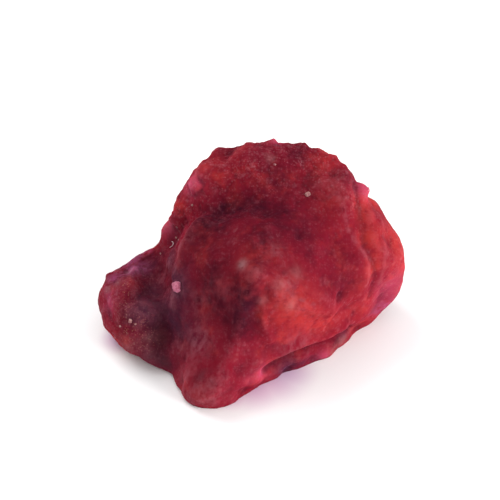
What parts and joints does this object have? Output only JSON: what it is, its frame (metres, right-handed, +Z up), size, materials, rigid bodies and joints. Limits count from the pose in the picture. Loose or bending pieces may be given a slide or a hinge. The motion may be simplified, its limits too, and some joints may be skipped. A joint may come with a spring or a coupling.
{
  "type": "raw ruby crystal",
  "caption": "Rough lump of red corundum: a rounded boss framed by a crest, with a flank, a left foot and a front foot, at rest on its worn base.",
  "frame": {"origin": "middle of the stone's bounding box in plan, on the table that it rests on", "axes": "+X across the stone, from its long left foot to its right flank; +Y from the front foot to the crest at the back; +Z up from the table"},
  "size_m": [0.014, 0.0112, 0.0078],
  "materials": {
    "rough_ruby": "waxy, frosted and translucent deep red, orange-red where it is worn and pink at its thin edges"
  },
  "bodies": {
    "root": {"ruby_crystal": "rough_ruby"}
  },
  "joints": []
}
